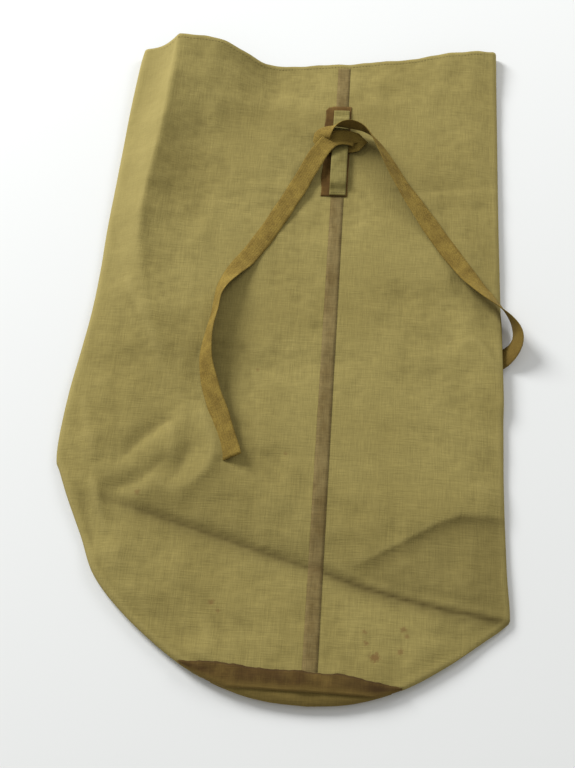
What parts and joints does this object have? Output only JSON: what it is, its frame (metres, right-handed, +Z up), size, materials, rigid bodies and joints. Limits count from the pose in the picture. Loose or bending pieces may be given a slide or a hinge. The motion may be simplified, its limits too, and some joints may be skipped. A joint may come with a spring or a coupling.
{
  "type": "mail sack",
  "caption": "Empty round-based canvas mail sack lying flat, with a taped side seam and base seam and a flat woven tie threaded under a sewn keeper near its mouth.",
  "frame": {"origin": "on the surface the sack lies on, under the middle of the laid sack", "axes": "+Y towards the mouth, +Z up, +X to the right of a viewer who faces the seam side with the mouth away"},
  "size_m": [0.5314, 0.9039, 0.0466],
  "materials": {
    "canvas": "coarse proofed canvas",
    "base_canvas": "stained canvas",
    "proofed_tape": "thin brown proofed tape",
    "webbing": "woven cotton tape",
    "keeper_cloth": "close cotton cloth",
    "thread": "cotton thread"
  },
  "bodies": {
    "sack": {"body_panel": "canvas", "mouth_hem": "canvas", "hem_stitching": "thread", "base_disc": "base_canvas", "seam_tape": "proofed_tape", "base_tape_front": "proofed_tape", "base_tape_under": "proofed_tape", "keeper_patch": "proofed_tape", "keeper_strip": "keeper_cloth", "keeper_stitch_upper": "thread", "keeper_stitch_lower": "thread"},
    "tie": {"tie_tape": "webbing"}
  },
  "joints": [
    {"name": "tie_slide", "type": "slide", "parent": "sack", "child": "tie", "axis": [0, 1, 0], "range_m": [-0.03, 0.014]}
  ]
}
